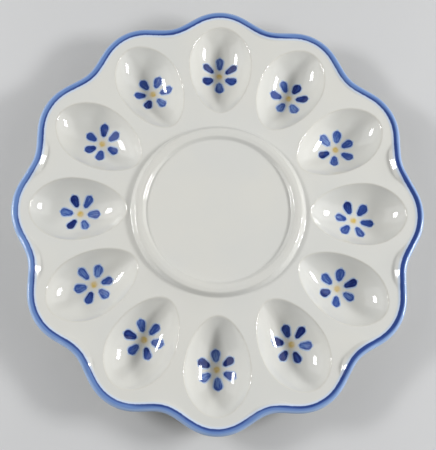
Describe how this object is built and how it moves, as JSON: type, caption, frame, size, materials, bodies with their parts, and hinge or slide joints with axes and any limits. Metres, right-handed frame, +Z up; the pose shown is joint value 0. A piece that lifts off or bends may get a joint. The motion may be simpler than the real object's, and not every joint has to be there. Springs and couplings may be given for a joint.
{
  "type": "deviled egg platter",
  "caption": "Oval scalloped ceramic platter with a ring of egg-shaped wells, a raised ring round a flat middle, a foot ring, a blue rim band and a painted flower in each well.",
  "frame": {"origin": "centre of the foot ring's flat face, on the table", "axes": "+Z up, +Y along the long axis of the oval, +X along the short axis"},
  "size_m": [0.2824, 0.3006, 0.0242],
  "materials": {
    "white_glaze": "gloss white glaze over fired clay",
    "cobalt_rim": "brushed cobalt under gloss glaze",
    "cobalt_petals": "brushed cobalt under gloss glaze",
    "yellow_eyes": "yellow ochre under gloss glaze"
  },
  "bodies": {
    "root": {"platter_body": "white_glaze", "rim_band": "cobalt_rim", "petals_01": "cobalt_petals", "petals_02": "cobalt_petals", "petals_03": "cobalt_petals", "petals_04": "cobalt_petals", "petals_05": "cobalt_petals", "petals_06": "cobalt_petals", "petals_07": "cobalt_petals", "petals_08": "cobalt_petals", "petals_09": "cobalt_petals", "petals_10": "cobalt_petals", "petals_11": "cobalt_petals", "petals_12": "cobalt_petals", "flower_eye_01": "yellow_eyes", "flower_eye_02": "yellow_eyes", "flower_eye_03": "yellow_eyes", "flower_eye_04": "yellow_eyes", "flower_eye_05": "yellow_eyes", "flower_eye_06": "yellow_eyes", "flower_eye_07": "yellow_eyes", "flower_eye_08": "yellow_eyes", "flower_eye_09": "yellow_eyes", "flower_eye_10": "yellow_eyes", "flower_eye_11": "yellow_eyes", "flower_eye_12": "yellow_eyes"}
  },
  "joints": []
}
